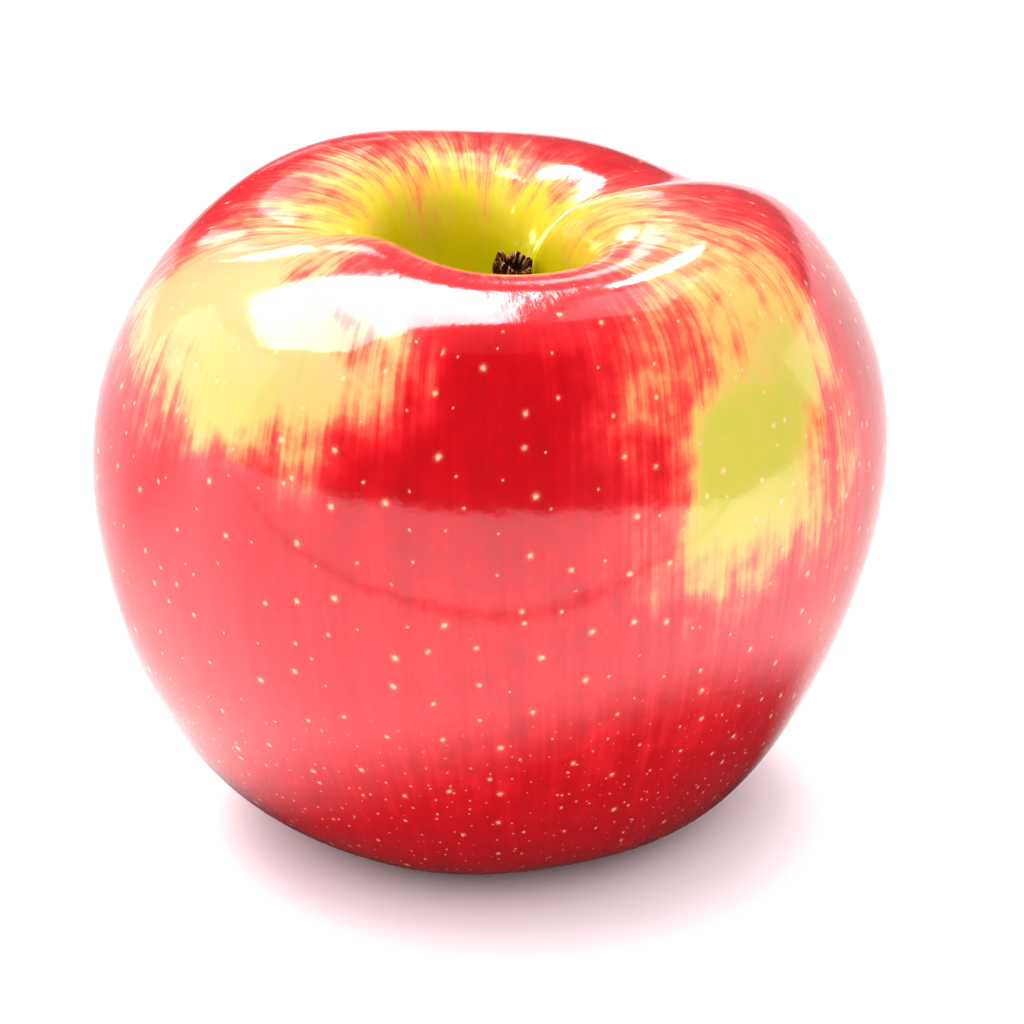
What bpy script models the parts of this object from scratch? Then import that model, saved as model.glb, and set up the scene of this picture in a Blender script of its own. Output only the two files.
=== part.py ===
"""An eating apple standing on the five lobes of its base.

Sizes are in metres and +Z is up. The fruit is one solid: an outline that runs from the calyx basin
underneath, out round the crown, the cheek and the shoulders, and down into the stem cavity, pushed out
of round by the shoulder lobes, the cheeks and the crown lobes. The stem stands in the cavity, and the
five dried sepals and the tuft of old stamens sit in the basin.
"""

import math

import bmesh
import bpy
import numpy as np
from mathutils import Vector

# Outline of the fruit: radii from the core axis, heights from the plane it stands on
CHEEK_RADIUS = 0.0413
CHEEK_HEIGHT = 0.0371
SHOULDER_RADIUS = 0.0207
SHOULDER_HEIGHT = 0.0699
MOUTH_RADIUS = 0.0120
MOUTH_DROP = 0.0036
CAVITY_DEPTH = 0.0211
CROWN_RADIUS = 0.0150
BASIN_RADIUS = 0.0096
BASIN_DEPTH = 0.0066

# Points between the named ones, each a share of the way from one to the next (outward, upward)
ROOF = ((0.47, 0.18),)
FLANK = ((0.23, 0.02), (0.54, 0.153), (0.874, 0.592))
UPPER = ((0.011, 0.38), (0.211, 0.744), (0.478, 0.943))
THROAT = ((0.215, 0.497), (0.665, 0.80))
BASIN_WALL_SHARE = 0.36

# How the fruit departs from a turned shape
CORE_LEAN = Vector((0.01, -0.06))
CAVITY_SHIFT = Vector((-0.0029, 0.0010))
CROWN_LOBES = 5
CROWN_LOBE_HEIGHT = 0.0004
CROWN_PHASE = math.radians(5)
STANDING_FLAT = 0.0003

# Lobes and dips of the shoulder: azimuth in degrees, height, sharpness
SHOULDER_LOBES = (
    (48, -0.0048, 14.5),
    (89, -0.0025, 5.7),
    (177, -0.0044, 8.9),
    (229, 0.0008, 5.4),
    (314, 0.0010, 3.6),
)
# Waves round the fruit, one for each whole number of waves: cosine part, sine part
CHEEK_WAVES = ((-0.0009, -0.0002), (0.0006, 0.0022), (-0.0004, 0.0001))
SHOULDER_WAVES = ((-0.0012, -0.0027), (-0.0018, -0.0021), (-0.0005, 0.0002))

# Stem, measured along itself from the centre of its round foot
STEM_LENGTH = 0.0134
STEM_RADIUS = 0.0012
STEM_FOOT_RADIUS = 0.0013
STEM_KNOB_RADIUS = 0.0021
STEM_KNOB_LENGTH = 0.0034
STEM_HOLLOW_RADIUS = 0.0011
STEM_HOLLOW_DEPTH = 0.0012
STEM_LEAN = math.radians(17.5)
STEM_HEADING = math.radians(-8)
# The swollen end: share of the way from the shaft's radius to the knob's, share of the knob's length down
STEM_KNOB = ((0.8, 0.0), (1.0, 0.15), (0.95, 0.4), (0.4, 0.72))
STEM_SHAFT = (0.05, 0.3, 0.6)
STEM_FOOT_ARC = (20, 0, -30, -60)
STEM_HOLLOW_FLOOR = (0.7, 0.8)

# Dried calyx
SEPALS = 5
SEPAL_RING_RADIUS = 0.0031
SEPAL_WIDTH = 0.0027
SEPAL_DROP = 0.0035
SEPAL_THICKNESS = 0.0005
SEPAL_BULGE = 0.0012
SEPAL_CONVERGE = 0.0009
SEPAL_TAPER = 0.8
SEPAL_TAPER_POWER = 1.6
TUFT_RADIUS = 0.0014
TUFT_LENGTH = 0.0030
# The tuft's outline: share of its radius, share of its length down
TUFT_OUTLINE = ((0.8, 0.0), (1.0, 0.12), (0.85, 0.5), (0.6, 0.9), (0.4, 1.0))

GAP = 0.0003

SEGMENTS = 60
RINGS_PER_SPAN = 3
STEM_STEPS = 20
TUFT_STEPS = 12
SEAT_STEPS = 9
BASIN_STEPS = 60


def between(start, end, shares):
    """Points between two outline points, each a share of the way (outward, upward)."""
    width, height = end[0] - start[0], end[1] - start[1]
    return [(start[0] + out * width, start[1] + up * height) for out, up in shares]


def outline_points():
    """The named points of the outline, from the basin's middle to the cavity's."""
    basin = (0.0, BASIN_DEPTH)
    basin_wall = (BASIN_RADIUS, BASIN_WALL_SHARE * BASIN_DEPTH)
    crown = (CROWN_RADIUS, 0.0)
    cheek = (CHEEK_RADIUS, CHEEK_HEIGHT)
    shoulder = (SHOULDER_RADIUS, SHOULDER_HEIGHT)
    mouth = (MOUTH_RADIUS, SHOULDER_HEIGHT - MOUTH_DROP)
    floor = (0.0, SHOULDER_HEIGHT - CAVITY_DEPTH)
    points = [basin, *between(basin, basin_wall, ROOF), basin_wall, crown]
    points += [*between(crown, cheek, FLANK), cheek, *between(cheek, shoulder, UPPER), shoulder]
    points += [mouth, *between(mouth, floor, THROAT), floor]
    names = ["basin", "roof", "basin_wall", "crown", "heel", "low_flank", "flank", "cheek"]
    names += ["upper", "high_shoulder", "crest_edge", "shoulder", "mouth", "wall", "throat", "floor"]
    return names, np.array(points)


def smooth_curve(points):
    """Knots along the points, and the curvature terms of the smooth curve through them.

    The points are continued by their mirror images across the core axis, so the curve is level there.
    """
    mirrored = points * (-1, 1)
    whole = np.vstack([mirrored[:0:-1], points, mirrored[-2::-1]])
    steps = np.linalg.norm(np.diff(whole, axis=0), axis=1) ** 0.5
    knots = np.concatenate([[0.0], np.cumsum(steps)])
    count = len(whole)
    system = np.eye(count)
    slopes = np.zeros((count, 2))
    rates = np.diff(whole, axis=0) / steps[:, None]
    for i in range(1, count - 1):
        system[i, i - 1 : i + 2] = steps[i - 1], 2 * (steps[i - 1] + steps[i]), steps[i]
        slopes[i] = 6 * (rates[i] - rates[i - 1])
    bends = np.linalg.solve(system, slopes)
    first = len(points) - 1
    kept = slice(first, first + len(points))
    return knots[kept] - knots[first], bends[kept]


def on_curve(points, knots, bends, t):
    """Radius and height of the outline at parameter t."""
    i = int(np.clip(np.searchsorted(knots, t, side="right") - 1, 0, len(knots) - 2))
    step = knots[i + 1] - knots[i]
    b = (t - knots[i]) / step
    a = 1 - b
    bend = ((a**3 - a) * bends[i] + (b**3 - b) * bends[i + 1]) * step * step / 6
    return a * points[i] + b * points[i + 1] + bend


def smooth_step(start, end, x):
    x = min(max((x - start) / (end - start), 0.0), 1.0)
    return x * x * (3 - 2 * x)


def waves(terms, azimuth):
    """A sum of cosine and sine waves, one for each whole number of waves round the fruit."""
    return sum(a * math.cos(k * azimuth) + b * math.sin(k * azimuth) for k, (a, b) in enumerate(terms, 1))


def shoulder_lobes(azimuth):
    """The sum of the shoulder's lobes and dips at an azimuth."""
    total = 0.0
    for middle, height, sharpness in SHOULDER_LOBES:
        total += height * math.exp(sharpness * (math.cos(azimuth - math.radians(middle)) - 1))
    return total


def shoulder_height(azimuth):
    """How far the shoulder lobes raise or lower the top at an azimuth, with no change on average."""
    turn = [math.tau * i / SEGMENTS for i in range(SEGMENTS)]
    return shoulder_lobes(azimuth) - sum(map(shoulder_lobes, turn)) / SEGMENTS


class FruitSurface:
    """The fruit's skin as a function of the azimuth and of the parameter along the outline."""

    def __init__(self):
        names, self.points = outline_points()
        self.knots, self.bends = smooth_curve(self.points)
        self.at = dict(zip(names, self.knots, strict=True))
        self.last_ring = RINGS_PER_SPAN * (len(self.knots) - 1)

    def ring_parameter(self, ring):
        """The parameter of a ring of the mesh, with the rings shared out evenly in each span."""
        spans = np.arange(len(self.knots)) * RINGS_PER_SPAN
        return float(np.interp(ring, spans, self.knots))

    def point(self, azimuth, t):
        at = self.at
        radius, height = on_curve(self.points, self.knots, self.bends, t)
        on_top = smooth_step(at["cheek"], at["shoulder"], t) - smooth_step(at["wall"], at["floor"], t)
        on_cheek = smooth_step(at["crown"], at["flank"], t) - smooth_step(at["high_shoulder"], at["mouth"], t)
        on_crown = smooth_step(at["basin"], at["crown"], t) - smooth_step(at["crown"], at["flank"], t)
        off_axis = smooth_step(0.0, MOUTH_RADIUS, radius)
        swell = on_cheek * waves(CHEEK_WAVES, azimuth)
        swell += on_top * off_axis * waves(SHOULDER_WAVES, azimuth)
        rise = on_top * shoulder_height(azimuth)
        rise += on_crown * CROWN_LOBE_HEIGHT * math.cos(CROWN_LOBES * (azimuth - CROWN_PHASE))
        place = Vector((math.cos(azimuth), math.sin(azimuth))) * (radius + swell)
        place += CORE_LEAN * (height + rise - CHEEK_HEIGHT)
        place += CAVITY_SHIFT * smooth_step(at["crest_edge"], at["wall"], t)
        ground = STANDING_FLAT - CROWN_LOBE_HEIGHT
        return Vector((*place, max(height + rise - ground, 0.0)))

    def seat(self, radius):
        """The centre of a ball of this radius that rests on the cavity's floor, as its rings make it."""
        floor = self.point(0.0, self.at["floor"])
        highest = floor.z + radius
        rings = [self.ring_parameter(self.last_ring - k) for k in range(RINGS_PER_SPAN + 1)]
        for azimuth in np.linspace(0.0, math.tau, SEGMENTS, endpoint=False):
            chain = [self.point(azimuth, t) for t in rings]
            for inner, outer in zip(chain, chain[1:]):
                for share in np.linspace(0.0, 1.0, SEAT_STEPS):
                    skin = inner.lerp(outer, share)
                    beside = (skin - floor).xy.length
                    if beside < radius:
                        highest = max(highest, skin.z + math.sqrt(radius**2 - beside**2))
        return Vector((*floor.xy, highest))

    def basin_height(self, radius):
        """Height of the basin's skin above the standing plane, at a radius from the basin's middle."""
        steps = np.linspace(0.0, self.at["crown"], BASIN_STEPS)
        radii, heights = np.array([on_curve(self.points, self.knots, self.bends, t) for t in steps]).T
        return float(np.interp(radius, radii, heights)) - STANDING_FLAT


def new_material(name, colour, roughness):
    material = bpy.data.materials.new(name)
    material.use_nodes = True
    shader = material.node_tree.nodes["Principled BSDF"]
    shader.inputs["Base Color"].default_value = (*colour, 1.0)
    shader.inputs["Roughness"].default_value = roughness
    shader.inputs["Metallic"].default_value = 0.0
    return material


def skin_material():
    return new_material("skin", (0.62, 0.03, 0.035), 0.22)


def bark_material():
    return new_material("bark", (0.20, 0.09, 0.03), 0.75)


def calyx_material():
    return new_material("calyx", (0.14, 0.08, 0.04), 0.8)


def add_object(name, mesh, material, parent):
    mesh.materials.clear()
    mesh.materials.append(material)
    piece = bpy.data.objects.new(name, mesh)
    bpy.data.collections[parent.name].objects.link(piece)
    piece.parent = parent
    return piece


def add_fruit(surface, parent):
    """The fruit: a sphere of rings whose points slide to their places on the surface."""
    build = bmesh.new()
    bmesh.ops.create_uvsphere(build, u_segments=SEGMENTS, v_segments=surface.last_ring, radius=1.0)
    for vertex in build.verts:
        polar = math.acos(max(-1.0, min(1.0, -vertex.co.z)))
        azimuth = math.atan2(vertex.co.y, vertex.co.x)
        ring = round(surface.last_ring * polar / math.pi)
        vertex.co = surface.point(azimuth, surface.ring_parameter(ring))
    mesh = bpy.data.meshes.new("fruit")
    build.to_mesh(mesh)
    build.free()
    mesh.shade_smooth()
    return add_object("fruit", mesh, skin_material(), parent)


def turned_mesh(name, profile):
    """An outline of (radius, height) points as a chain of edges in the XZ plane."""
    mesh = bpy.data.meshes.new(name)
    edges = [(i, i + 1) for i in range(len(profile) - 1)]
    mesh.from_pydata([(r, 0.0, z) for r, z in profile], edges, [])
    return mesh


def turn(piece, steps):
    screw = piece.modifiers.new("turn", "SCREW")
    screw.steps = steps
    screw.render_steps = steps
    screw.use_merge_vertices = True
    screw.merge_threshold = 0.00001
    screw.use_smooth_shade = True


def add_stem(surface, parent):
    """The stem: a round foot, a shaft, and a flared end with a shallow hollow."""
    top = STEM_LENGTH
    neck = top - STEM_KNOB_LENGTH
    swell = STEM_KNOB_RADIUS - STEM_RADIUS
    inward, down = STEM_HOLLOW_FLOOR
    profile = [(0.0, top - STEM_HOLLOW_DEPTH)]
    profile += [(inward * STEM_HOLLOW_RADIUS, top - down * STEM_HOLLOW_DEPTH), (STEM_HOLLOW_RADIUS, top)]
    profile += [(STEM_RADIUS + out * swell, top - drop * STEM_KNOB_LENGTH) for out, drop in STEM_KNOB]
    profile += [(STEM_RADIUS, neck * (1 - share)) for share in STEM_SHAFT]
    arc = [math.radians(angle) for angle in STEM_FOOT_ARC]
    profile += [(STEM_FOOT_RADIUS * math.cos(a), STEM_FOOT_RADIUS * math.sin(a)) for a in arc]
    profile.append((0.0, -STEM_FOOT_RADIUS))
    stem = add_object("stem", turned_mesh("stem", profile), bark_material(), parent)
    turn(stem, STEM_STEPS)
    stem.location = surface.seat(STEM_FOOT_RADIUS + GAP)
    stem.rotation_euler = (0.0, STEM_LEAN, STEM_HEADING)
    return stem


def sepal_mesh(top):
    """One sepal hanging from height top: a pointed leaf, cupped round the calyx, its tip leaning in."""
    build = bmesh.new()
    bmesh.ops.create_grid(build, x_segments=4, y_segments=6, size=1.0)
    for vertex in build.verts:
        across, along = vertex.co.x, (vertex.co.y + 1) / 2
        half_width = SEPAL_WIDTH / 2 * (1 - SEPAL_TAPER * along**SEPAL_TAPER_POWER)
        radius = SEPAL_RING_RADIUS + SEPAL_BULGE * math.sin(math.pi * along) - SEPAL_CONVERGE * along**2
        azimuth = across * half_width / SEPAL_RING_RADIUS
        height = top - SEPAL_DROP * along
        vertex.co = (radius * math.cos(azimuth), radius * math.sin(azimuth), height)
    bmesh.ops.recalc_face_normals(build, faces=build.faces)
    mesh = bpy.data.meshes.new("sepal")
    build.to_mesh(mesh)
    build.free()
    mesh.shade_smooth()
    return mesh


def add_sepals(surface, parent):
    """The sepals, evenly round the middle of the basin and clear of its roof."""
    reach = math.hypot(SEPAL_RING_RADIUS + SEPAL_THICKNESS, SEPAL_WIDTH / 2)
    middle = surface.point(0.0, surface.at["basin"])
    mesh = sepal_mesh(surface.basin_height(reach) - GAP)
    material = calyx_material()
    for number in range(SEPALS):
        sepal = add_object(f"sepal_{number + 1}", mesh, material, parent)
        sepal.location = (middle.x, middle.y, 0.0)
        sepal.rotation_euler.z = CROWN_PHASE + math.tau * number / SEPALS
        thicken = sepal.modifiers.new("thicken", "SOLIDIFY")
        thicken.thickness = SEPAL_THICKNESS
        thicken.offset = 0.0


def add_stamen_tuft(surface, parent):
    """The tuft of dried stamens: a small tapered bunch in the middle of the sepals."""
    middle = surface.point(0.0, surface.at["basin"])
    top = surface.basin_height(TUFT_RADIUS) - GAP
    profile = [(0.0, top)]
    profile += [(out * TUFT_RADIUS, top - down * TUFT_LENGTH) for out, down in TUFT_OUTLINE]
    profile.append((0.0, top - TUFT_LENGTH))
    tuft = add_object("stamen_tuft", turned_mesh("stamen_tuft", profile), calyx_material(), parent)
    turn(tuft, TUFT_STEPS)
    tuft.location = (middle.x, middle.y, 0.0)


def main():
    for old in list(bpy.data.objects):
        bpy.data.objects.remove(old)
    group = bpy.data.collections.new("apple")
    bpy.context.scene.collection.children.link(group)
    apple = bpy.data.objects.new("apple", None)
    group.objects.link(apple)
    surface = FruitSurface()
    fruit = add_fruit(surface, apple)
    add_stem(surface, apple)
    add_sepals(surface, apple)
    add_stamen_tuft(surface, apple)
    # The origin is the middle of the fruit's box, on the plane it stands on.
    corners = [Vector(corner) for corner in fruit.bound_box]
    middle = (corners[0] + corners[6]) / 2
    apple.location = (-middle.x, -middle.y, 0.0)


main()
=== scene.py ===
"""A ripe, waxy red-and-yellow apple standing on a white table in soft studio light.

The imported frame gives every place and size. The fruit is the frame's own surface, subdivided and
given its slight unevenness; the stem, the dried sepals and the stamens are detailed pieces that
stand where the frame's plain ones do. Metres, +Z up, the camera on the -Y side.
"""

import heapq
import math
import random

import bmesh
import bpy
import numpy as np
from mathutils import Matrix, Vector, noise


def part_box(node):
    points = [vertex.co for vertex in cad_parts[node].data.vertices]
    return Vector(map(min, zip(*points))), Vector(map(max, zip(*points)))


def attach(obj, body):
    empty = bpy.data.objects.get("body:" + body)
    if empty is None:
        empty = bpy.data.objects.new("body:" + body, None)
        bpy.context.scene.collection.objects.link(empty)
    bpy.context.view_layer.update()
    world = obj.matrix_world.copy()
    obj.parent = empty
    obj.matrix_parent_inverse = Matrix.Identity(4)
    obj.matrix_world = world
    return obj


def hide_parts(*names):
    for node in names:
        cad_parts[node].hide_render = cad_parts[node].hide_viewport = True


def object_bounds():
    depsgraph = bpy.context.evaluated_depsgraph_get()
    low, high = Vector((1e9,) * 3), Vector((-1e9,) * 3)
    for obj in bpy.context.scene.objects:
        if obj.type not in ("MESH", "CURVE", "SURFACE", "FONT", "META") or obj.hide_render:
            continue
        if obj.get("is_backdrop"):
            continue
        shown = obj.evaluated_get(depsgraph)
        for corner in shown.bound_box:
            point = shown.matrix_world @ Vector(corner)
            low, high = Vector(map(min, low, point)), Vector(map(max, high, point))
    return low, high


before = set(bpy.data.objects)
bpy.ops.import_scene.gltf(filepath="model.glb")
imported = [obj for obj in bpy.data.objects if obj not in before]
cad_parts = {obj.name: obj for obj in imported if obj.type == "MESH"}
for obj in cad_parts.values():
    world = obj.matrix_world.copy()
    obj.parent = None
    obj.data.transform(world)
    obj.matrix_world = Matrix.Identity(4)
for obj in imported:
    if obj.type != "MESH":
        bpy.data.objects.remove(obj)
cad_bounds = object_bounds()
LOW, HIGH = (Vector(corner) for corner in cad_bounds)
CENTRE = (LOW + HIGH) / 2
MM = 0.001
BLACK, WHITE = (0, 0, 0, 1), (1, 1, 1, 1)

# Camera: where it looks, measured from the middle of the fruit, and from how far and how high
AIM_FROM_CENTRE = Vector((2.07, 1.4, -2.26)) * MM
CAMERA_DISTANCE = 0.56
CAMERA_ELEVATION = math.radians(25.2)
CAMERA_ROLL = math.radians(0.36)
FOCAL_LENGTH = 183.9
SENSOR = 36.0

# Studio. The soft lights and the room light the colours; the panels, windows and cards are seen
# only by the skin's gloss. The panels hang level, and their outlines are in shares of their height
# above the fruit, +X to the camera's right and +Y away from it.
ROOM = 1.6
ROOM_IN_GLOSS = 0.3
DISPLAY_GAMMA = 0.8
PANEL_HEIGHT = 0.9
SOFTBOX = (
    (-0.42, 0.00),
    (-0.42, 1.20),
    (-0.69, 1.02),
    (-1.04, 0.90),
    (-1.80, -0.10),
    (-1.14, -0.35),
    (-0.85, -0.38),
)
SOFTBOX_TAIL = (
    (-0.01, 0.45),
    (-0.01, 2.00),
    (-0.14, 1.50),
    (-0.42, 1.15),
    (-0.42, 0.00),
    (-0.15, 0.36),
)
BACK_PANEL = ((0.06, 0.40), (0.45, 0.45), (0.45, 1.25), (0.06, 1.30))
# Each panel's name, outline and brightness
PANELS = (
    ("softbox", SOFTBOX, 9.0),
    ("softbox_tail", SOFTBOX_TAIL, 13.0),
    ("back_panel", BACK_PANEL, 2.0),
)
# A small card over the stem, which the far wall of the cavity mirrors: its outline and height in mm
CAVITY_CARD = ((15, 36), (25, 46), (31, 60), (30, 72), (22, 68), (17, 57), (12, 46))
CAVITY_CARD_HEIGHT = 110
CAVITY_CARD_BRIGHTNESS = 14.0
# Windows behind the fruit and a haze on its left: azimuths, elevations, brightness. Azimuths run
# from the camera's side towards +X.
WINDOWS = (
    ("left_window", (-172, -164), (6, 16), 3.0),
    ("right_window", (180, 187), (12, 18), 3.0),
    ("left_haze", (-128, -74), (-6, 26), 1.3),
)
# Dark cards on the camera's side: azimuths, elevations, brightness
DARK_CARDS = (
    ("dark_card", (-42, 24), (-40, 66), 0.01),
    ("grey_card", (24, 62), (-40, 60), 0.12),
)
CARD_RADIUS = 0.95
# Square lights that no gloss mirrors: azimuth, elevation, side in metres, brightness
SOFT_LIGHTS = (
    ("key_light", -150, 72, 1.1, 1.3),
    ("fill_light", -20, 34, 1.0, 0.12),
    ("left_light", -105, 10, 1.0, 0.45),
)
LIGHT_DISTANCE = 1.0

# Table: its front edge, and a painted reflection of it that only the gloss sees, with a painted
# shadow round the fruit's foot and one faint painted shadow line like a seam
TABLE_COLOUR = (0.94, 0.95, 0.985, 1.0)
TABLE_EDGE = (
    (-0.9, -0.36),
    (-0.15, -0.33),
    (-0.03, -0.25),
    (0.08, -0.17),
    (0.13, -0.10),
    (0.24, 0.10),
    (0.9, 0.3),
)
TABLE_BACK = 2.5
# Brightness of the painted reflection of the lit table
PAINTED_TABLE_REFLECTION = 2.65
# The middle of the painted shadow round the fruit's foot
PAINTED_SHADOW_MIDDLE = (0.010, -0.006)
# How the painted reflection of the table changes: from one distance in metres to another, and between
# which values. Painted shadow darkens it round the fruit's foot, painted shade dims it towards the
# back, painted light keeps it bright just behind the fruit, and a painted shadow line crosses it.
PAINTED_SHADOW_TO_TABLE = (0.034, 0.056, 0.10, PAINTED_TABLE_REFLECTION)
FRONT_TO_BACK = (-0.05, 0.05, 1.0, 0.36)
GLOW_BEHIND = (-0.004, 0.018, 0.0, 1.2)
# A faint painted shadow line, like a seam's, crosses the reflection: its fade, direction, distance
# and waver
SHADOW_LINE_TO_TABLE = (0.0006, 0.0040, 0.45, 1.0)
SHADOW_LINE_DIRECTION = (-0.205, 0.979, 0.0)
SHADOW_LINE_DISTANCE = 0.0893
SHADOW_LINE_WAVER = 0.010

# Skin: the fruit's girth and the length of its skin from stem to calyx, which scale its markings
GIRTH_RADIUS_MM = 44.0
MERIDIAN_MM = 145.0
SKIN_BRIGHTNESS = 0.7
DEEP_RED = 0.92
UNEVENNESS = 0.12 * MM
UNEVEN_EVERY = 13 * MM
FURROW_DEPTH = 0.16 * MM
FURROWS = 26
# Shares of the way down the skin between which a thing sets in. A pair that falls is where it ends.
CAVITY_ENDS = (0.24, 0.12)
RED_BEGINS = (0.085, 0.30)
STREAKS_BEGIN = (0.06, 0.17)
BAND_BEGINS, BAND_ENDS = (0.42, 0.53), (0.75, 0.62)
RED_ENDS = (0.975, 0.89)
BASIN_GREEN = (0.90, 0.98)
BAND_FADING = 0.14
# Streaks: width and length in mm, octaves of noise, offset, and weight beside the mottle's
BROAD_STREAKS, BROAD_WEIGHT = (2.6, 48, 3.0, 0.0), 0.90
FINE_STREAKS, FINE_WEIGHT = (0.65, 15, 3.0, 7.3), 0.75
MOTTLE_PER_MM, PORES_PER_MM, DIMPLES_PER_MM, RAGGED_PER_MM = 0.35, 1.7, 0.42, 3.2
# How far the markings wander from their places, and how often they turn
WANDER, WANDER_PER_MM = (0.22, 0.22, 0.04), 0.07
# How the streaks' contrast and the gloss change: from one value to another, and between which values
CONTRAST_IN_THIN_RED = (0.0, 0.35, 0.30, 0.66)
CONTRAST_IN_DEEP_RED = (0.62, 0.86, 1.0, 0.40)
BLUSH_OVER_GROUND = (0.0, 0.50)
UNEVEN_ROUGHNESS = (0.3, 0.7, 0.42, 0.52)
UNEVEN_GLOSS = (0.7, 1.2, 0.88, 1.0)
# The relief under the gloss, in mm
STREAK_RELIEF, PORE_RELIEF, DIMPLE_RELIEF, LENTICEL_RELIEF = 0.004, 0.006, 0.020, 0.010

# The furrows lie between these shares of the way down. Near the table the skin has no unevenness.
FURROWS_BEGIN, FURROWS_END = (0.01, 0.06), (0.20, 0.11)
SMOOTH_BELOW = 5 * MM
FINER_BY = 2
WELD = 0.01 * MM

# Stem: corners round it, rings along it, its radii, and the shares of its length where it swells
STEM_AROUND, STEM_RINGS = 56, 46
STEM_FOOT_RADIUS, STEM_FOOT_ARC = 1.25 * MM, 0.09
STEM_SWELL, STEM_SWELLS = 0.85 * MM, (0.66, 0.90)
STEM_NARROWING, STEM_NARROWS = 0.12 * MM, (0.93, 1.0)
TEETH_BEGIN = 0.90
# The hollow in its broken end: depth in mm and share of the outer radius
STEM_HOLLOW = ((0.0, 0.80), (0.5, 0.70), (1.2, 0.62), (1.8, 0.45), (2.0, 0.05))
HOLLOW_DROP = 0.1 * MM

# Sepals: their half width at the root, thickness, outward bow, and how far their tips curl in
SEPAL_HALF_WIDTH, SEPAL_THICKNESS = 1.5 * MM, 0.28 * MM
SEPAL_BOW, SEPAL_CURL, SEPAL_MORE_CURL = 0.5 * MM, 0.9, (0.2, 0.7)
SEPAL_CUPPING, SEPAL_CRUMPLE = 0.35 * MM, 0.12 * MM
SEPAL_CELLS = (10, 18)

# Stamens: how many, their corners and rings, how far they lean, and the radii of their parts
STAMENS, STAMEN_CORNERS, STAMEN_RINGS = 20, 7, 9
STAMEN_LEAN_MM, STAMEN_ROOTS_WITHIN = 0.7, 0.7
FILAMENT, ANTHER = 0.11 * MM, 0.13 * MM


def rgb(red, green, blue):
    """A colour given as 8-bit display values, as the linear values a shader wants."""
    shares = [value / 255 for value in (red, green, blue)]
    linear = [c / 12.92 if c <= 10 / 255 else ((c + 0.055) / 1.055) ** 2.4 for c in shares]
    return (*linear, 1.0)


def pigment(red, green, blue):
    """The same for a colour of the skin, which is darker than it seems beside a white table."""
    return (*(SKIN_BRIGHTNESS * c for c in rgb(red, green, blue)[:3]), 1.0)


def smooth_step(start, end, x):
    share = np.clip((x - start) / (end - start), 0.0, 1.0)
    return share * share * (3 - 2 * share)


class Shader:
    """A material's node graph, written as calls that take sockets or plain values."""

    def __init__(self, name, **constants):
        self.material = bpy.data.materials.new(name)
        self.material.use_nodes = True
        self.tree = self.material.node_tree
        self.principled = self.tree.nodes["Principled BSDF"]
        for socket, value in constants.items():
            self.principled.inputs[socket.replace("_", " ")].default_value = value

    def feed(self, socket, value):
        if isinstance(value, bpy.types.NodeSocket):
            self.tree.links.new(value, socket)
        else:
            socket.default_value = value

    def node(self, kind, inputs, **settings):
        node = self.tree.nodes.new(kind)
        for key, value in settings.items():
            setattr(node, key, value)
        for socket, value in inputs.items():
            self.feed(node.inputs[socket], value)
        return node

    def surface(self, **sockets):
        for socket, value in sockets.items():
            self.feed(self.principled.inputs[socket.replace("_", " ")], value)

    def attribute(self, name, output):
        return self.node("ShaderNodeAttribute", {}, attribute_name=name).outputs[output]

    def math(self, operation, *values, clamp=False):
        inputs = dict(enumerate(values))
        return self.node("ShaderNodeMath", inputs, operation=operation, use_clamp=clamp).outputs[0]

    def vector(self, operation, *values, output="Vector"):
        inputs = dict(enumerate(values))
        return self.node("ShaderNodeVectorMath", inputs, operation=operation).outputs[output]

    def part(self, vector, axis):
        return self.node("ShaderNodeSeparateXYZ", {"Vector": vector}).outputs[axis]

    def ramp(self, value, low, high, to_low=0.0, to_high=1.0):
        """A smooth change from to_low to to_high as the value goes from low to high."""
        ends = {"From Min": low, "From Max": high, "To Min": to_low, "To Max": to_high}
        inputs = {"Value": value, **ends}
        return self.node("ShaderNodeMapRange", inputs, interpolation_type="SMOOTHSTEP").outputs[0]

    def mix(self, factor, first, second):
        node = self.node("ShaderNodeMix", {"Factor": factor}, data_type="RGBA")
        self.feed(node.inputs[6], first)
        self.feed(node.inputs[7], second)
        return node.outputs[2]

    def colours(self, value, stops):
        node = self.node("ShaderNodeValToRGB", {"Fac": value})
        elements = node.color_ramp.elements
        while len(elements) < len(stops):
            elements.new(0.5)
        for element, (position, colour) in zip(elements, stops):
            element.position = position
            element.color = colour
        return node.outputs["Color"]

    def noise(self, vector, scale, detail=2.0, roughness=0.5):
        inputs = {"Vector": vector, "Scale": scale, "Detail": detail, "Roughness": roughness}
        return self.node("ShaderNodeTexNoise", inputs).outputs["Fac"]

    def bump(self, height_mm, strength=1.0):
        inputs = {"Height": height_mm, "Distance": MM, "Strength": strength}
        return self.node("ShaderNodeBump", inputs).outputs["Normal"]


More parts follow.
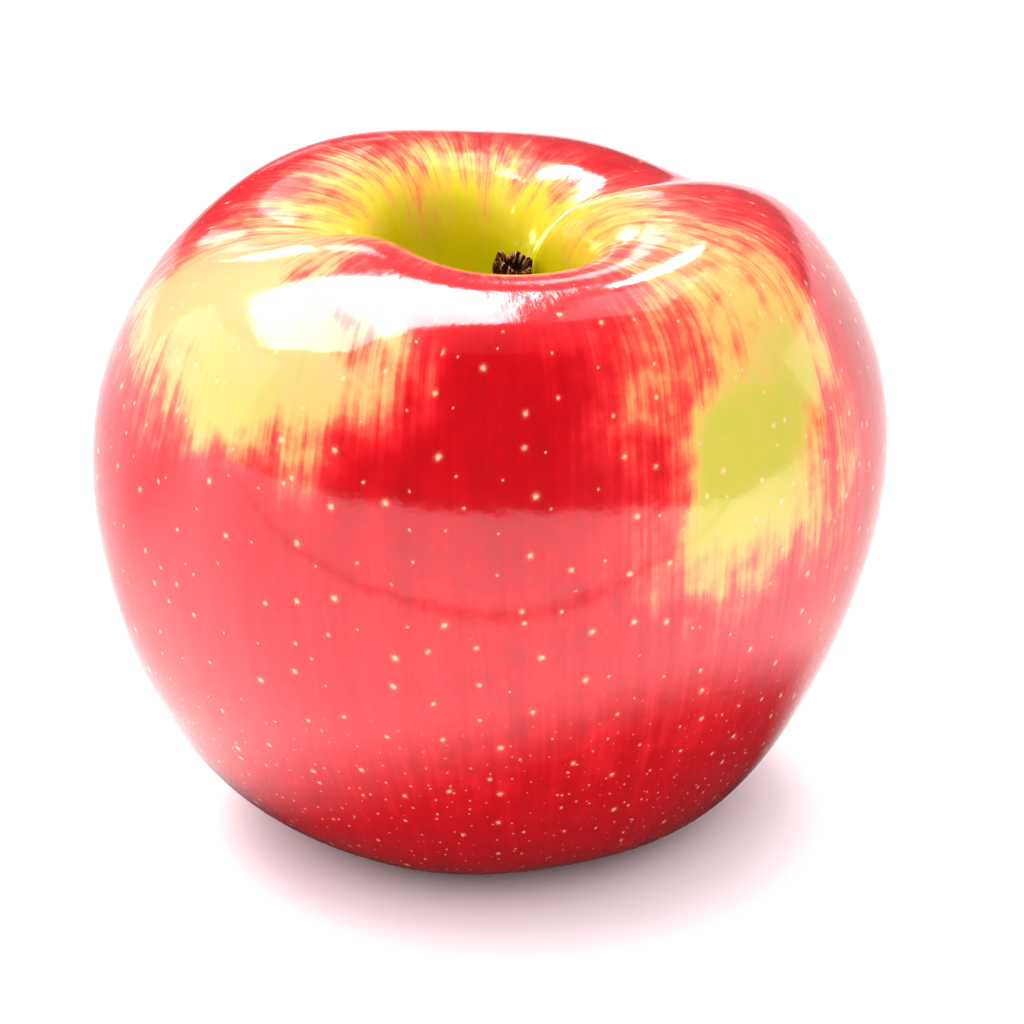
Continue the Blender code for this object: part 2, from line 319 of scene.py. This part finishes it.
class SkinShader(Shader):
    """The apple's skin. Its markings follow two directions: round the fruit, and down it.

    The mesh's "place" attribute holds (cos azimuth, sin azimuth, share of the way down to the calyx).
    """

    def __init__(self):
        super().__init__("apple_skin", Specular_IOR_Level=0.05, Coat_IOR=1.6, Coat_Roughness=0.10)
        place = self.attribute("place", "Vector")
        cylinder = (GIRTH_RADIUS_MM, GIRTH_RADIUS_MM, MERIDIAN_MM)
        self.on_skin = self.vector("MULTIPLY", place, cylinder)
        self.down = self.part(place, "Z")
        inputs = {"Vector": self.on_skin, "Scale": WANDER_PER_MM, "Detail": 1.0}
        wander = self.node("ShaderNodeTexNoise", inputs)
        shift = self.vector("SUBTRACT", wander.outputs["Color"], (0.5, 0.5, 0.5))
        self.wandered = self.vector("MULTIPLY_ADD", shift, WANDER, place)
        self.wandered_down = self.part(self.wandered, "Z")

    def streaks(self, width_mm, length_mm, detail, offset):
        """Noise drawn out along the meridians."""
        stretch = (1.0 / width_mm, 1.0 / width_mm, 1.0 / length_mm)
        stretched = self.vector("MULTIPLY_ADD", self.on_skin, stretch, (offset, offset, offset))
        return self.noise(stretched, 1.0, detail, 0.55)

    def oval(self, azimuth, down, half_angle, half_down, softness):
        """1 inside an oval of skin and 0 outside it, with an uneven edge of the given softness."""
        heading = (math.cos(math.radians(azimuth)), math.sin(math.radians(azimuth)), 0.0)
        facing = self.vector("DOT_PRODUCT", self.wandered, heading, output="Value")
        angle_squared = self.math("MULTIPLY_ADD", facing, -2.0, 2.0)
        across = self.math("MULTIPLY", angle_squared, math.radians(half_angle) ** -2)
        along = self.math("MULTIPLY_ADD", self.wandered_down, 1 / half_down, -down / half_down)
        across = self.math("MAXIMUM", across, 0.0)
        distance = self.math("SQRT", self.math("MULTIPLY_ADD", along, along, across))
        return self.ramp(distance, 1.0 + softness, 1.0 - softness)

    def thinned(self, value, oval):
        """The value, less a share of it inside the oval."""
        *shape, strength = oval
        left = self.math("MULTIPLY_ADD", self.oval(*shape), -strength, 1.0)
        return self.math("MULTIPLY", value, left)

    def spots(self, spacing_mm, offset):
        """Distance in mm to the nearest spot's middle, and a random number for each spot."""
        moved = self.vector("ADD", self.on_skin, (offset, offset, offset))
        inputs = {"Vector": moved, "Scale": 1 / spacing_mm, "Randomness": 0.9}
        cells = self.node("ShaderNodeTexVoronoi", inputs)
        away = self.vector("SUBTRACT", moved, cells.outputs["Position"])
        outward = self.vector("MULTIPLY", self.attribute("place", "Vector"), (1.0, 1.0, 0.0))
        off_skin = self.vector("DOT_PRODUCT", away, outward, output="Value")
        scaled = {0: outward, "Scale": off_skin}
        radial = self.node("ShaderNodeVectorMath", scaled, operation="SCALE")
        on_skin = self.vector("SUBTRACT", away, radial.outputs["Vector"])
        distance = self.vector("LENGTH", on_skin, output="Value")
        return distance, self.part(cells.outputs["Color"], "X")


# Where the red gives way to yellow: azimuth, share of the way down the skin, half angle, half share,
# softness, strength
PALE_OVALS = (
    (-143, 0.325, 27, 0.085, 0.85, 0.95),
    (-120, 0.365, 16, 0.055, 0.80, 0.90),
    (-160, 0.250, 26, 0.050, 0.80, 0.55),
    (-44, 0.430, 20, 0.105, 0.85, 1.00),
    (-48, 0.300, 22, 0.070, 0.90, 0.60),
    (-14, 0.200, 26, 0.040, 0.80, 0.55),
    (-188, 0.190, 34, 0.075, 0.90, 0.28),
    (120, 0.170, 60, 0.060, 0.80, 0.30),
    (-22, 0.280, 24, 0.055, 0.90, 0.35),
    (95, 0.400, 24, 0.110, 0.75, 0.80),
)
GREEN_OVALS = (
    (-44, 0.430, 22, 0.115, 1.00, 0.95),
    (-126, 0.390, 16, 0.040, 0.80, 0.45),
    (95, 0.400, 20, 0.090, 0.70, 0.60),
)
# Where the bloom has dulled the gloss
DULL_OVALS = ((-208, 0.185, 40, 0.100, 0.70, 0.95),)

PALE_GROUND = pigment(250, 188, 136)
GREEN_GROUND = pigment(206, 200, 82)
CAVITY_GROUND = pigment(220, 208, 0)
# The blush from thin to deep
BLUSH = (
    (0.10, pigment(250, 200, 128)),
    (0.28, pigment(247, 154, 104)),
    (0.48, pigment(240, 98, 82)),
    (0.68, pigment(228, 42, 50)),
    (0.84, pigment(206, 8, 28)),
    (1.00, pigment(188, 0, 18)),
)
# Lenticels: spacing, offset, core radius and halo radius in mm, halo strength, and the shares of
# the way down the skin between which they set in
LENTICELS = (
    (5.0, 3.1, 0.27, 0.75, 0.20, (0.20, 0.32)),
    (2.5, 61.7, 0.13, 0.34, 0.14, (0.56, 0.72)),
)
LENTICEL_HALO = pigment(255, 176, 140)
LENTICEL_CORE = pigment(250, 214, 172)
LENTICEL_CORE_STRENGTH = 0.74
# How a lenticel's random number sets its size, as a share of the radii above
LENTICEL_SIZES = (0.10, 1.0, 0.42, 1.1)


def skin_pigment(skin):
    """How much red the skin holds, from 0 for the ground colour to 1 for the deepest red."""
    down = skin.wandered_down
    red = skin.ramp(down, *RED_BEGINS, 0.0, DEEP_RED)
    red = skin.math("MULTIPLY", red, skin.ramp(down, *RED_ENDS))
    # A lighter band runs round the fruit below its girth.
    band = skin.math("MULTIPLY", skin.ramp(down, *BAND_BEGINS), skin.ramp(down, *BAND_ENDS))
    red = skin.math("MULTIPLY", red, skin.math("MULTIPLY_ADD", band, -BAND_FADING, 1.0))
    for oval in PALE_OVALS:
        red = skin.thinned(red, oval)
    broad, fine = skin.streaks(*BROAD_STREAKS), skin.streaks(*FINE_STREAKS)
    mottle = skin.noise(skin.on_skin, MOTTLE_PER_MM, 3.0)
    uneven = skin.math("MULTIPLY_ADD", fine, FINE_WEIGHT, mottle)
    uneven = skin.math("MULTIPLY_ADD", broad, BROAD_WEIGHT, uneven)
    uneven = skin.math("SUBTRACT", uneven, 0.5 * (BROAD_WEIGHT + FINE_WEIGHT + 1.0))
    # The streaks show most where the red is thin, and fade out in the green of the cavity.
    in_thin, in_deep = skin.ramp(red, *CONTRAST_IN_THIN_RED), skin.ramp(red, *CONTRAST_IN_DEEP_RED)
    contrast = skin.math("MULTIPLY", in_thin, in_deep)
    contrast = skin.math("MULTIPLY", contrast, skin.ramp(skin.down, *STREAKS_BEGIN))
    red = skin.math("MULTIPLY_ADD", uneven, contrast, red)
    return skin.math("MAXIMUM", red, 0.0), fine, mottle


def ground_colour(skin, mottle):
    """The colour under the red: green in the cavity, the basin and some patches, else pale."""
    in_cavity = skin.ramp(skin.wandered_down, *CAVITY_ENDS)
    green = skin.math("MAXIMUM", in_cavity, skin.ramp(skin.wandered_down, *BASIN_GREEN, 0.0, 0.8))
    for *shape, strength in GREEN_OVALS:
        green = skin.math("MAXIMUM", green, skin.math("MULTIPLY", skin.oval(*shape), strength))
    green = skin.math("MULTIPLY_ADD", skin.math("SUBTRACT", mottle, 0.5), 0.5, green, clamp=True)
    return skin.mix(in_cavity, skin.mix(green, PALE_GROUND, GREEN_GROUND), CAVITY_GROUND)


def skin_gloss(skin, pores, mottle):
    """The weight of the waxy coat: a little uneven, and worn off where the bloom is."""
    gloss = 1.0
    for oval in DULL_OVALS:
        gloss = skin.thinned(gloss, oval)
    return skin.math("MULTIPLY", gloss, skin.ramp(skin.math("ADD", pores, mottle), *UNEVEN_GLOSS))


def skin_material():
    skin = SkinShader()
    red, fine, mottle = skin_pigment(skin)
    blush = skin.colours(red, BLUSH)
    colour = skin.mix(skin.ramp(red, *BLUSH_OVER_GROUND), ground_colour(skin, mottle), blush)
    pores = skin.noise(skin.on_skin, PORES_PER_MM, 2.0)
    dimples = skin.noise(skin.on_skin, DIMPLES_PER_MM, 1.0)
    height = skin.math("MULTIPLY", fine, STREAK_RELIEF)
    height = skin.math("MULTIPLY_ADD", pores, PORE_RELIEF, height)
    height = skin.math("MULTIPLY_ADD", dimples, DIMPLE_RELIEF, height)
    ragged = skin.math("MULTIPLY_ADD", skin.noise(skin.on_skin, RAGGED_PER_MM, 2.0), 0.5, -0.25)
    for spacing, offset, core, halo, glow, begins in LENTICELS:
        where = skin.ramp(skin.down, *begins)
        distance, chance = skin.spots(spacing, offset)
        size = skin.ramp(chance, *LENTICEL_SIZES)
        distance = skin.math("DIVIDE", distance, size)
        distance = skin.math("MULTIPLY_ADD", ragged, 2.0 * core, distance)
        near = skin.math("MULTIPLY", skin.ramp(distance, halo, 0.15 * halo), where)
        middle = skin.math("MULTIPLY", skin.ramp(distance, 1.5 * core, 0.35 * core), where)
        colour = skin.mix(skin.math("MULTIPLY", near, glow), colour, LENTICEL_HALO)
        core_shows = skin.math("MULTIPLY", middle, LENTICEL_CORE_STRENGTH)
        colour = skin.mix(core_shows, colour, LENTICEL_CORE)
        height = skin.math("MULTIPLY_ADD", middle, LENTICEL_RELIEF, height)
    relief = skin.bump(height)
    skin.surface(
        Base_Color=colour,
        Roughness=skin.ramp(pores, *UNEVEN_ROUGHNESS),
        Coat_Weight=skin_gloss(skin, pores, mottle),
        Normal=relief,
        Coat_Normal=relief,
    )
    return skin.material


def steps_down(grid, start):
    """The length of the shortest way along the edges from one vertex to each other one."""
    reached = {start: 0.0}
    queue = [(0.0, start.index, start)]
    while queue:
        so_far, _, vertex = heapq.heappop(queue)
        if so_far > reached[vertex]:
            continue
        for edge in vertex.link_edges:
            further = so_far + edge.calc_length()
            other = edge.other_vert(vertex)
            if further < reached.get(other, math.inf):
                reached[other] = further
                heapq.heappush(queue, (further, other.index, other))
    return reached


def fruit_grid():
    """The frame's fruit as a welded grid of quads, and its two poles."""
    grid = bmesh.new()
    grid.from_mesh(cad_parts["fruit"].data)
    bmesh.ops.remove_doubles(grid, verts=grid.verts, dist=WELD)
    bmesh.ops.join_triangles(
        grid,
        faces=grid.faces,
        angle_face_threshold=math.radians(60),
        angle_shape_threshold=math.radians(180),
    )
    grid.verts.index_update()
    poles = sorted(grid.verts, key=lambda vertex: len(vertex.link_edges))[-2:]
    calyx_end, stem_end = sorted(poles, key=lambda vertex: vertex.co.z)
    return grid, stem_end, calyx_end


def marked_mesh():
    """The grid as a mesh whose "place" attribute says where each point is on the skin."""
    grid, stem_end, calyx_end = fruit_grid()
    from_stem, from_calyx = steps_down(grid, stem_end), steps_down(grid, calyx_end)
    places = np.zeros((len(grid.verts), 3))
    for vertex in grid.verts:
        rise = (vertex.co.z - calyx_end.co.z) / (stem_end.co.z - calyx_end.co.z)
        core = calyx_end.co.lerp(stem_end.co, min(max(rise, 0.0), 1.0))
        away = (vertex.co - core).xy
        away = away.normalized() if away.length > WELD else Vector((0.0, 0.0))
        share = from_stem[vertex] / (from_stem[vertex] + from_calyx[vertex])
        places[vertex.index] = (*away, share)
    mesh = bpy.data.meshes.new("fruit_skin")
    grid.to_mesh(mesh)
    grid.free()
    mesh.attributes.new("place", "FLOAT_VECTOR", "POINT").data.foreach_set("vector", places.ravel())
    return mesh


def apply_modifiers(piece):
    """The piece's mesh with its modifiers worked into it."""
    graph = bpy.context.evaluated_depsgraph_get()
    mesh = bpy.data.meshes.new_from_object(piece.evaluated_get(graph))
    piece.modifiers.clear()
    piece.data = mesh
    mesh.shade_smooth()
    return mesh


def add_piece(name, mesh, material, slot, *nodes):
    piece = bpy.data.objects.new(name, mesh)
    bpy.context.scene.collection.objects.link(piece)
    mesh.materials.clear()
    mesh.materials.append(material)
    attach(piece, "root")
    if nodes:
        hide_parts(*nodes)
    return piece


def add_fruit():
    piece = add_piece("fruit_skin", marked_mesh(), skin_material(), "skin", "fruit")
    finer = piece.modifiers.new("finer", "SUBSURF")
    finer.levels = finer.render_levels = FINER_BY
    mesh = apply_modifiers(piece)
    places = mesh.attributes["place"].data
    for vertex, normal, place in zip(mesh.vertices, mesh.vertex_normals, places):
        around_x, around_y, down = place.vector
        clear_of_floor = smooth_step(0.0, SMOOTH_BELOW, vertex.co.z - LOW.z)
        uneven = UNEVENNESS * noise.noise(vertex.co / UNEVEN_EVERY) * clear_of_floor
        ridge = noise.noise(Vector((around_x, around_y, 0.6 * down)) * FURROWS / 4)
        in_throat = smooth_step(*FURROWS_BEGIN, down) * smooth_step(*FURROWS_END, down)
        vertex.co += normal.vector * (uneven + FURROW_DEPTH * ridge * in_throat)
    return piece


def stem_axis():
    """The foot and the tip of the frame's stem, on its centre line."""
    corners = np.array([vertex.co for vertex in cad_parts["stem"].data.vertices])
    foot = corners[corners[:, 2].argmin()]
    reach = np.linalg.norm(corners - foot, axis=1)
    tip = corners[reach > reach.max() - 0.5 * MM].mean(axis=0)
    return Vector(foot), Vector(tip)


def bark_material():
    bark = Shader("stem_bark", Roughness=0.85, Specular_IOR_Level=0.08)
    along = bark.attribute("along", "Fac")
    place = bark.attribute("grain", "Vector")
    fibre = bark.noise(bark.vector("MULTIPLY", place, (5.0, 5.0, 1.2)), 1.0, 4.0, 0.65)
    specks = bark.noise(place, 9.0, 3.0)
    brown = bark.colours(
        fibre,
        (
            (0.42, rgb(22, 8, 3)),
            (0.52, rgb(62, 27, 10)),
            (0.60, rgb(138, 78, 32)),
            (0.70, rgb(224, 170, 104)),
        ),
    )
    torn = bark.ramp(bark.math("MULTIPLY_ADD", specks, 0.25, along), 1.02, 1.16)
    splinters = bark.math("MULTIPLY", torn, bark.ramp(fibre, 0.48, 0.58, 0.0, 0.8))
    colour = bark.mix(splinters, brown, rgb(206, 156, 98))
    bark.surface(Base_Color=colour, Normal=bark.bump(bark.math("MULTIPLY", fibre, 0.5)))
    return bark.material


def stem_radius(along):
    """The stem's outer radius at a share of its length: rounded foot, thin shaft, swollen end."""
    below_arc = max(STEM_FOOT_ARC - along, 0.0) / STEM_FOOT_ARC
    foot = STEM_FOOT_RADIUS * math.sqrt(max(1 - below_arc**2, 0.0))
    swell = STEM_SWELL * float(smooth_step(*STEM_SWELLS, along))
    return foot + swell - STEM_NARROWING * float(smooth_step(*STEM_NARROWS, along))


def bark_relief(angle, along):
    place = Vector((math.cos(angle) * 2.2, math.sin(angle) * 2.2, along * 3.0))
    return 0.16 * MM * noise.noise(place) + 0.07 * MM * noise.noise(place * 3)


def stem_teeth(angle):
    """How far the broken edge stands up or falls away."""
    ragged = noise.noise(Vector((math.cos(angle) * 1.7, math.sin(angle) * 1.7, 4.2)))
    sharp = noise.noise(Vector((math.cos(angle) * 5.0, math.sin(angle) * 5.0, 9.1)))
    return (0.75 * ragged + 0.45 * sharp - 0.35) * MM


def stem_loops(length):
    """The stem's rings from foot to tip and into its hollow: share of its length, radius, lift."""
    for ring in range(STEM_RINGS + 1):
        along = (ring / STEM_RINGS) ** 0.9
        raised = float(smooth_step(TEETH_BEGIN, 1.0, along))

        def radius(angle, along=along):
            relief = bark_relief(angle, along) * min(8 * along, 1)
            return max(stem_radius(along) + relief, 0.02 * MM)

        yield along, radius, lambda angle, raised=raised: raised * stem_teeth(angle)
    for depth, share in STEM_HOLLOW:

        def radius(angle, share=share):
            return share * (stem_radius(1.0) + bark_relief(angle, 1.0))

        def lift(angle, depth=depth):
            return stem_teeth(angle) * max(1 - depth / 1.2, 0) - HOLLOW_DROP

        yield 1.0 - depth * MM / length, radius, lift


def add_stem():
    foot, tip = stem_axis()
    length = (tip - foot).length
    turn = (tip - foot).to_track_quat("Z", "Y").to_matrix()
    build = bmesh.new()
    loops, marks = [], []
    for along, radius_of, lift_of in stem_loops(length):
        ring = []
        for number in range(STEM_AROUND):
            angle = math.tau * number / STEM_AROUND
            radius, cos, sin = radius_of(angle), math.cos(angle), math.sin(angle)
            place = Vector((radius * cos, radius * sin, along * length + lift_of(angle)))
            ring.append(build.verts.new(foot + turn @ place))
            marks.append((along, (cos, sin, along * 6)))
        loops.append(ring)
    for lower, upper in zip(loops, loops[1:]):
        for number in range(STEM_AROUND):
            beside = (number + 1) % STEM_AROUND
            build.faces.new((lower[number], lower[beside], upper[beside], upper[number]))
    build.faces.new(reversed(loops[0]))
    build.faces.new(loops[-1])
    bmesh.ops.recalc_face_normals(build, faces=build.faces)
    mesh = bpy.data.meshes.new("stem_wood")
    build.to_mesh(mesh)
    build.free()
    mesh.shade_smooth()
    shares, grain = zip(*marks)
    mesh.attributes.new("along", "FLOAT", "POINT").data.foreach_set("value", shares)
    grain = np.array(grain)
    mesh.attributes.new("grain", "FLOAT_VECTOR", "POINT").data.foreach_set("vector", grain.ravel())
    return add_piece("stem_wood", mesh, bark_material(), "bark", "stem")


def calyx_material():
    calyx = Shader("dry_calyx", Roughness=0.85, Sheen_Weight=0.25, Sheen_Roughness=0.5)
    place = calyx.node("ShaderNodeTexCoord", {}).outputs["Object"]
    fibre = calyx.noise(place, 1400.0, 3.0)
    colour = calyx.colours(
        fibre, ((0.30, rgb(52, 34, 22)), (0.50, rgb(104, 76, 48)), (0.72, rgb(158, 128, 88)))
    )
    calyx.surface(Base_Color=colour, Normal=calyx.bump(calyx.math("MULTIPLY", fibre, 0.12)))
    return calyx.material


def node_box(name):
    low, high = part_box(name)
    return Vector(low), Vector(high)


def add_sepals(material):
    names = sorted(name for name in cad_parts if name.startswith("sepal"))
    boxes = {name: node_box(name) for name in names}
    middle = sum(((low + high) / 2 for low, high in boxes.values()), Vector()) / len(names)
    draw = random.Random(5)
    for name, (low, high) in boxes.items():
        outward = ((low + high) / 2 - middle).xy
        heading = math.atan2(outward.y, outward.x)
        reach = outward.length
        curl = draw.uniform(*SEPAL_MORE_CURL)
        wave = draw.uniform(0.0, math.tau)
        build = bmesh.new()
        bmesh.ops.create_grid(build, x_segments=SEPAL_CELLS[0], y_segments=SEPAL_CELLS[1], size=1.0)
        for vertex in build.verts:
            across, along = vertex.co.x, (vertex.co.y + 1) / 2
            half_width = SEPAL_HALF_WIDTH * (1 - 0.93 * along**1.5)
            half_width *= 1 + 0.10 * math.sin(9 * along + wave)
            radius = reach + SEPAL_BOW * math.sin(math.pi * along)
            radius -= (SEPAL_CURL + curl) * MM * along**2.5
            radius += SEPAL_CUPPING * abs(across) ** 1.6 * (1 - 0.5 * along)
            radius += SEPAL_CRUMPLE * math.sin(7 * along + 3 * across + wave)
            height = high.z - (high.z - low.z) * along
            azimuth = heading + across * half_width / reach
            x, y = radius * math.cos(azimuth), radius * math.sin(azimuth)
            vertex.co = (middle.x + x, middle.y + y, height)
        mesh = bpy.data.meshes.new(name + "_dry")
        build.to_mesh(mesh)
        build.free()
        piece = add_piece(name + "_dry", mesh, material, "calyx", name)
        thicken = piece.modifiers.new("thicken", "SOLIDIFY")
        thicken.thickness = SEPAL_THICKNESS
        thicken.offset = 0.0
        finer = piece.modifiers.new("finer", "SUBSURF")
        finer.levels = finer.render_levels = 1
        apply_modifiers(piece)


def stamen_width(share):
    """A stamen's radius at a share of its length: a thin filament that ends in an anther."""
    width = FILAMENT * (1 - 0.3 * share) + ANTHER * float(smooth_step(0.8, 0.92, share))
    return width * (1.0 - 0.75 * float(smooth_step(0.93, 1.0, share)))


def add_stamens(material):
    low, high = node_box("stamen_tuft")
    middle = (low + high) / 2
    spread = (high.x - low.x) / 2
    draw = random.Random(11)
    angles = [math.tau * k / STAMEN_CORNERS for k in range(STAMEN_CORNERS)]
    corners = [Vector((math.cos(angle), math.sin(angle), 0)) for angle in angles]
    build = bmesh.new()
    for _ in range(STAMENS):
        azimuth, out = draw.uniform(0, math.tau), spread * math.sqrt(draw.random())
        drop = (high.z - low.z) * draw.uniform(0.6, 1.0)
        lean = Vector((draw.uniform(-1, 1), draw.uniform(-1, 1), 0)) * STAMEN_LEAN_MM * MM
        x, y = out * math.cos(azimuth), out * math.sin(azimuth)
        start = Vector((middle.x + x, middle.y + y, high.z))
        start.x = middle.x + STAMEN_ROOTS_WITHIN * (start.x - middle.x)
        start.y = middle.y + STAMEN_ROOTS_WITHIN * (start.y - middle.y)
        below = None
        for step in range(STAMEN_RINGS):
            share = step / (STAMEN_RINGS - 1)
            centre = start + lean * share**2 - Vector((0, 0, drop * share))
            width = stamen_width(share)
            ring = [build.verts.new(centre + width * corner) for corner in corners]
            if below:
                for k in range(STAMEN_CORNERS):
                    beside = (k + 1) % STAMEN_CORNERS
                    build.faces.new((below[k], below[beside], ring[beside], ring[k]))
            else:
                build.faces.new(ring)
            below = ring
        build.faces.new(below)
    bmesh.ops.recalc_face_normals(build, faces=build.faces)
    mesh = bpy.data.meshes.new("stamens_dry")
    build.to_mesh(mesh)
    build.free()
    mesh.shade_smooth()
    add_piece("stamens_dry", mesh, material, "calyx", "stamen_tuft")


def stage_object(name, mesh, material):
    thing = bpy.data.objects.new(name, mesh)
    bpy.context.scene.collection.objects.link(thing)
    mesh.materials.append(material)
    thing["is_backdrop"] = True
    return thing


def outline_mesh(name, corners):
    mesh = bpy.data.meshes.new(name)
    mesh.from_pydata(corners, [], [tuple(range(len(corners)))])
    return mesh


def painted_table_reflection_material():
    """The table's reflection as the gloss sees it, painted: a painted shadow round the fruit's foot,
    painted shade that dims it behind with painted light just behind the fruit, and a faint painted
    shadow line like a seam.
    """
    table = Shader("painted_table_reflection", Base_Color=BLACK, Emission_Color=WHITE)
    place = table.node("ShaderNodeTexCoord", {}).outputs["Object"]
    from_middle = (-PAINTED_SHADOW_MIDDLE[0], -PAINTED_SHADOW_MIDDLE[1], 0.0)
    flat = table.vector("MULTIPLY_ADD", place, (1.0, 1.0, 0.0), from_middle)
    from_painted_shadow = table.vector("LENGTH", flat, output="Value")
    # Painted shadow round the fruit's foot
    bright = table.ramp(from_painted_shadow, *PAINTED_SHADOW_TO_TABLE)
    depth = table.part(place, "Y")
    # Painted shade dims it towards the back; painted light keeps it bright just behind the fruit
    bright = table.math("MULTIPLY", bright, table.ramp(depth, *FRONT_TO_BACK))
    bright = table.math("MAXIMUM", bright, table.ramp(depth, *GLOW_BEHIND))
    # A faint painted shadow line, like a seam's
    from_shadow_line = table.vector("DOT_PRODUCT", place, SHADOW_LINE_DIRECTION, output="Value")
    waver = table.noise(place, 170.0, 3.0)
    away = table.math("MULTIPLY_ADD", waver, SHADOW_LINE_WAVER, SHADOW_LINE_DISTANCE - SHADOW_LINE_WAVER / 2)
    from_shadow_line = table.math("ABSOLUTE", table.math("ADD", from_shadow_line, away))
    bright = table.math("MULTIPLY", bright, table.ramp(from_shadow_line, *SHADOW_LINE_TO_TABLE))
    table.surface(Emission_Strength=bright)
    return table.material


def add_table():
    """A white table that ends some way in front of the fruit."""
    outline = TABLE_EDGE + ((TABLE_EDGE[-1][0], TABLE_BACK), (TABLE_EDGE[0][0], TABLE_BACK))
    material = Shader("white_table", Base_Color=TABLE_COLOUR, Roughness=0.6).material
    stage_object("table", outline_mesh("table", [(*place, LOW.z) for place in outline]), material)
    # The table's painted reflection, with its painted shadows, lies just above it where only the
    # gloss sees it
    above = LOW.z + 0.2 * MM
    mirrored = outline_mesh("painted_table_reflection", [(*place, above) for place in outline])
    add_reflected("painted_table_reflection", mirrored, painted_table_reflection_material())


def glowing_material(name, radiance):
    glow = Shader(name, Base_Color=BLACK, Emission_Color=WHITE, Emission_Strength=radiance)
    return glow.material


def add_reflected(name, mesh, material):
    """Something that only the gloss of the skin sees."""
    card = stage_object(name, mesh, material)
    card.visible_camera = card.visible_diffuse = card.visible_shadow = False


def towards(azimuth, elevation, distance=1.0):
    """A step away from the fruit. Azimuths run from the camera's side towards +X."""
    flat, up = distance * math.cos(elevation), distance * math.sin(elevation)
    return Vector((flat * math.sin(azimuth), -flat * math.cos(azimuth), up))


def card_mesh(name, azimuths, elevations):
    """A curved card round the fruit."""
    around, up = 24, 16
    build = bmesh.new()
    rows = []
    heights = np.radians(np.linspace(*elevations, up + 1))
    for azimuth in np.radians(np.linspace(*azimuths, around + 1)):
        steps = [towards(azimuth, elevation, CARD_RADIUS) for elevation in heights]
        rows.append([build.verts.new(CENTRE + step) for step in steps])
    for left, right in zip(rows, rows[1:]):
        for j in range(up):
            build.faces.new((left[j], right[j], right[j + 1], left[j + 1]))
    mesh = bpy.data.meshes.new(name)
    build.to_mesh(mesh)
    build.free()
    return mesh


def add_soft_light(name, azimuth, elevation, side, brightness):
    """A square light that lights the fruit's colour but leaves no mirror image in its gloss."""
    light = bpy.data.lights.new(name, "AREA")
    light.shape = "SQUARE"
    light.size = side
    light.energy = brightness * math.pi**2 * LIGHT_DISTANCE**2
    holder = bpy.data.objects.new(name, light)
    bpy.context.scene.collection.objects.link(holder)
    direction = towards(math.radians(azimuth), math.radians(elevation))
    holder.location = CENTRE + LIGHT_DISTANCE * direction
    holder.rotation_euler = direction.to_track_quat("Z", "Y").to_euler()
    holder.visible_glossy = False


def add_world():
    """White all round, dimmer where the skin's gloss mirrors it."""
    world = bpy.data.worlds.new("white_room")
    bpy.context.scene.world = world
    world.use_nodes = True
    nodes, links = world.node_tree.nodes, world.node_tree.links
    path = nodes.new("ShaderNodeLightPath")
    dimmed = nodes.new("ShaderNodeMath")
    dimmed.operation = "MULTIPLY_ADD"
    dimmed.inputs[1].default_value = ROOM_IN_GLOSS - ROOM
    dimmed.inputs[2].default_value = ROOM
    links.new(path.outputs["Is Glossy Ray"], dimmed.inputs[0])
    links.new(dimmed.outputs[0], nodes["Background"].inputs["Strength"])
    nodes["Background"].inputs["Color"].default_value = (1.0, 1.0, 1.0, 1.0)


def add_studio():
    add_world()
    height = CENTRE.z + PANEL_HEIGHT
    for name, outline, brightness in PANELS:
        corners = [(x * PANEL_HEIGHT, y * PANEL_HEIGHT, height) for x, y in outline]
        add_reflected(name, outline_mesh(name, corners), glowing_material(name, brightness))
    corners = [Vector((x, y, CAVITY_CARD_HEIGHT)) * MM for x, y in CAVITY_CARD]
    over_stem = glowing_material("cavity_card", CAVITY_CARD_BRIGHTNESS)
    add_reflected("cavity_card", outline_mesh("cavity_card", corners), over_stem)
    for name, azimuths, elevations, brightness in WINDOWS + DARK_CARDS:
        card = card_mesh(name, azimuths, elevations)
        add_reflected(name, card, glowing_material(name, brightness))
    for light in SOFT_LIGHTS:
        add_soft_light(*light)
    add_table()
    bpy.context.scene.view_settings.view_transform = "Standard"
    bpy.context.scene.view_settings.gamma = DISPLAY_GAMMA


def add_camera():
    camera = bpy.data.cameras.new("camera")
    camera.sensor_width = SENSOR
    camera.lens = FOCAL_LENGTH
    camera.clip_start = 0.01
    holder = bpy.data.objects.new("camera", camera)
    bpy.context.scene.collection.objects.link(holder)
    back = Vector((0.0, -math.cos(CAMERA_ELEVATION), math.sin(CAMERA_ELEVATION)))
    place = Matrix.Translation(CENTRE + AIM_FROM_CENTRE + CAMERA_DISTANCE * back)
    tilt = Matrix.Rotation(math.pi / 2 - CAMERA_ELEVATION, 4, "X")
    roll = Matrix.Rotation(CAMERA_ROLL, 4, "Z")
    holder.matrix_world = place @ (tilt @ roll)
    bpy.context.scene.camera = holder


add_camera()
add_studio()
add_fruit()
add_stem()
calyx = calyx_material()
add_sepals(calyx)
add_stamens(calyx)

[[list(corner) for corner in bounds] for bounds in (cad_bounds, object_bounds())]
